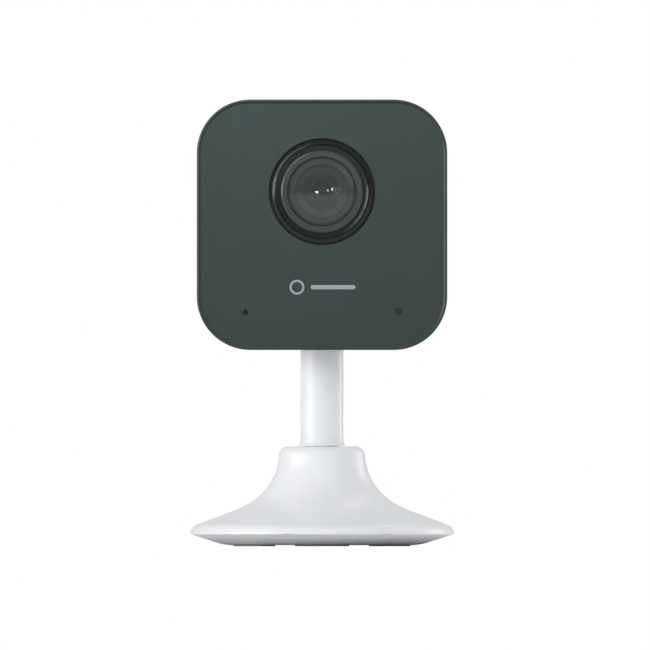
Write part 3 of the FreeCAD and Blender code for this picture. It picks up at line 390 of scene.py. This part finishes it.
def face_mark():
    """A plain printed ring and bar below the lens, a neutral mark with no lettering."""
    ink = printed_ink("mark_ink", MARK_COLOR)
    front = PANEL_Y - MARK_HALF_THICKNESS
    back = PANEL_Y + MARK_HALF_THICKNESS
    outline = [(front, MARK_RING_INNER), (front, MARK_RING_OUTER), (back, MARK_RING_OUTER), (back, MARK_RING_INNER)]
    lathe("face_mark_ring", outline, ink, "head", Vector((MARK_RING_X, 0, MARK_LEVEL)), turns=96)
    bar = stadium(MARK_BAR_X, MARK_LEVEL, MARK_BAR_LENGTH, MARK_BAR_HEIGHT)
    plate("face_mark_bar", bar, front, back, ink, "head")


def speaker_cloth():
    """The black cloth between the speaker's gasket and the perforated wall."""
    gasket_low, gasket_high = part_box("speaker_gasket")
    radius = (gasket_high.x - gasket_low.x) / 2 - 0.3 * MM
    near = gasket_high.y + 0.005 * MM
    outline = [(near, 0.0), (near, radius - 0.02 * MM), (near + 0.01 * MM, radius), (near + 0.03 * MM, radius),
               (near + 0.035 * MM, radius - 0.02 * MM), (near + 0.02 * MM, 0.6 * radius), (near + 0.015 * MM, 0.0)]
    weave = woven("speaker_cloth_weave", (0.012, 0.012, 0.013), 0.18 * MM)
    lathe("speaker_cloth", outline, weave, "head", axis_of("speaker_gasket"), turns=96)


def sound_hole_mesh():
    """The dust mesh just inside the microphone's hole."""
    front = PANEL_Y + 0.7 * MM
    outline = [(front, 0.0), (front, 0.5 * MM), (front + 0.02 * MM, 0.57 * MM), (front + 0.06 * MM, 0.57 * MM),
               (front + 0.06 * MM, 0.0)]
    weave = woven("sound_mesh_weave", (0.05, 0.056, 0.056), 0.12 * MM)
    lathe("sound_hole_mesh", outline, weave, "head", axis_of("microphone_boot"), turns=48)


# ---------------------------------------------------------------- stage, light and camera

def floor():
    """A pale round floor under the camera, not part of the object."""
    mesh = bpy.data.meshes.new("floor")
    shape = bmesh.new()
    bmesh.ops.create_circle(shape, cap_ends=True, segments=96, radius=FLOOR_RADIUS)
    shape.to_mesh(mesh)
    shape.free()
    obj = bpy.data.objects.new("floor", mesh)
    bpy.context.scene.collection.objects.link(obj)
    paint = new_material("floor_paint", (0.90, 0.90, 0.90), 0.7)
    vary_roughness(paint, 0.65, 0.75, 40 * MM)
    mesh.materials.append(paint)


def area_light(name, position, size, power, target=LIGHT_AIM):
    """A rectangular soft light aimed at a point: metres and watts."""
    data = bpy.data.lights.new(name, "AREA")
    data.shape = "RECTANGLE"
    data.size, data.size_y = size
    data.energy = power
    obj = bpy.data.objects.new(name, data)
    bpy.context.scene.collection.objects.link(obj)
    obj.location = position
    obj.rotation_euler = (Vector(target) - Vector(position)).to_track_quat("-Z", "Y").to_euler()
    obj.visible_camera = False
    return obj


def shine(light, names, state="INCLUDE"):
    """Let a light reach only the named pieces, or with EXCLUDE all but them."""
    receivers = bpy.data.collections.new(light.name + "_receivers")
    for name in names:
        receivers.objects.link(NODES[name])
    for entry in receivers.collection_objects:
        entry.light_linking.link_state = state
    light.light_linking.receiver_collection = receivers


def glint_light(name, position, size, power):
    """A small round light that shines only on the lens, which mirrors it as a glint."""
    glint = area_light(name, position, size, power, target=(0, 0, LENS_LEVEL))
    glint.data.shape = "ELLIPSE"
    shine(glint, GLASS)


def studio():
    """A broad soft light at the left, weaker ones around, some for the face or the lens alone, and two glints."""
    key = area_light("key_left", (-0.92, -0.40, 0.19), (0.8, 0.42), 4.2)
    shine(key, GLASS, "EXCLUDE")
    front = area_light("front", (0.15, -0.80, 0.58), (0.9, 0.7), 3.2)
    front.visible_glossy = False
    front.visible_transmission = False
    glow_upper = area_light("glow_upper_left", (-0.6, -0.3, 0.75), (0.8, 0.8), 3.4)
    shine(glow_upper, ["lens_bezel_ring", "lens_trim_ring"])
    glow_left = area_light("glow_left", (-0.75, -0.50, 0.25), (1.1, 0.8), 3.4)
    shine(glow_left, ["lens_bezel_ring", "front_cover"])
    over_face = area_light("over_face", (-0.03, -0.09, 0.19), (0.06, 0.03), 0.24)
    over_face.visible_glossy = False
    shine(over_face, ["front_cover"])
    area_light("edge_right", (0.85, 0.5, 0.12), (0.4, 0.8), 2.5)
    area_light("top_back", (0.1, 0.45, 0.9), (0.7, 0.5), 2.2)
    glint_light("glint_left", (-0.10, -1.0, 0.072), (0.055, 0.055), 0.26)
    glint_light("glint_right", (0.19, -0.98, 0.13), (0.035, 0.08), 0.12)


def world():
    """A white surround for the camera and a grey one for everything it lights."""
    surround = bpy.data.worlds.new("surround")
    bpy.context.scene.world = surround
    surround.use_nodes = True
    tree = surround.node_tree
    tree.nodes.clear()
    output = tree.nodes.new("ShaderNodeOutputWorld")
    mix = tree.nodes.new("ShaderNodeMixShader")
    path = tree.nodes.new("ShaderNodeLightPath")
    tree.links.new(path.outputs["Is Camera Ray"], mix.inputs["Fac"])
    for place, color, strength in ((1, SURROUND_COLOR, SURROUND_STRENGTH), (2, (1, 1, 1, 1), 1.0)):
        background = tree.nodes.new("ShaderNodeBackground")
        background.inputs["Color"].default_value = color
        background.inputs["Strength"].default_value = strength
        tree.links.new(background.outputs["Background"], mix.inputs[place])
    tree.links.new(mix.outputs["Shader"], output.inputs["Surface"])


def camera():
    """A level, straight-on camera without perspective."""
    data = bpy.data.cameras.new("camera")
    data.type = "ORTHO"
    height = CAD_BOX[1][2] - CAD_BOX[0][2]
    data.ortho_scale = height * PICTURE_HEIGHTS
    obj = bpy.data.objects.new("camera", data)
    bpy.context.scene.collection.objects.link(obj)
    obj.location = (CAMERA_ASIDE, -CAMERA_DISTANCE, height * CAMERA_LEVEL)
    obj.rotation_euler = (math.pi / 2, 0, 0)
    bpy.context.scene.camera = obj


# ---------------------------------------------------------------- build

dress_nodes()
face_mark()
speaker_cloth()
sound_hole_mesh()
floor()
studio()
world()
camera()
bpy.context.scene.view_settings.view_transform = "Standard"
